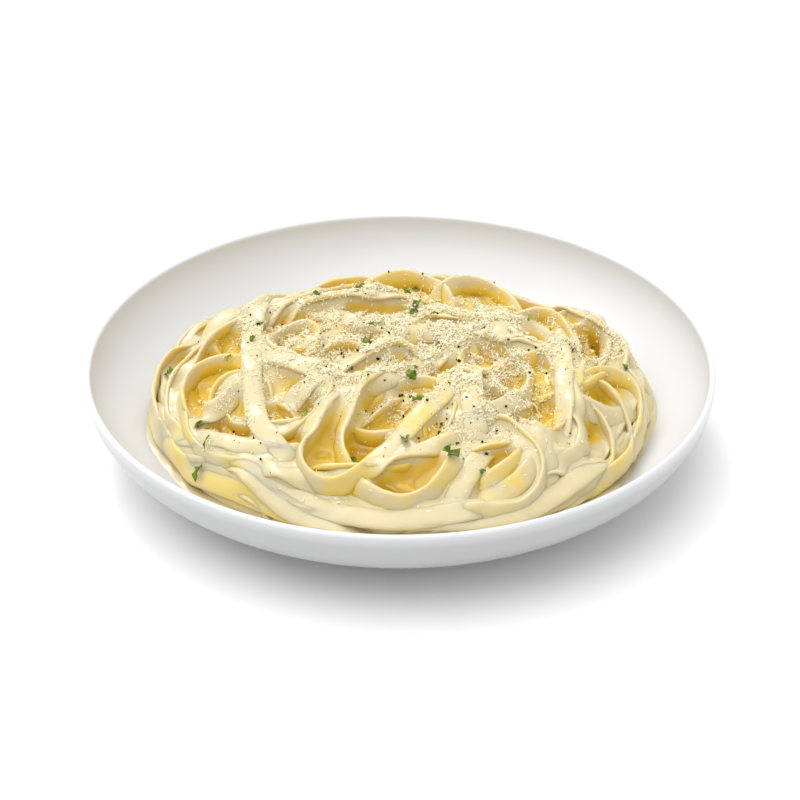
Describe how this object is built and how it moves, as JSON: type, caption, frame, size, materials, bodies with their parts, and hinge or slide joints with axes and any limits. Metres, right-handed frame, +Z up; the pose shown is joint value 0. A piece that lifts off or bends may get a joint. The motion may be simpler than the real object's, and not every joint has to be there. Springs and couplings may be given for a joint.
{
  "type": "fettuccine alfredo in a bowl",
  "caption": "Heap of broad ribbon noodles in cream sauce, filling a white rimless pasta bowl on a foot ring, topped with grated cheese, parsley and pepper.",
  "frame": {"origin": "middle of the foot ring's underside, on the table", "axes": "+Z up, out of the bowl; -Y is the front, from where the bowl is looked at; +X to the right"},
  "size_m": [0.24, 0.24, 0.0465],
  "materials": {
    "porcelain": "smooth white glaze, softly glossy",
    "fettuccine": "cooked egg noodle, pale gold, satin under a coat of cream",
    "cream_sauce": "thick ivory cream sauce, moist"
  },
  "bodies": {
    "root": {"bowl": "porcelain", "noodles": "fettuccine", "sauce": "cream_sauce"}
  },
  "joints": []
}
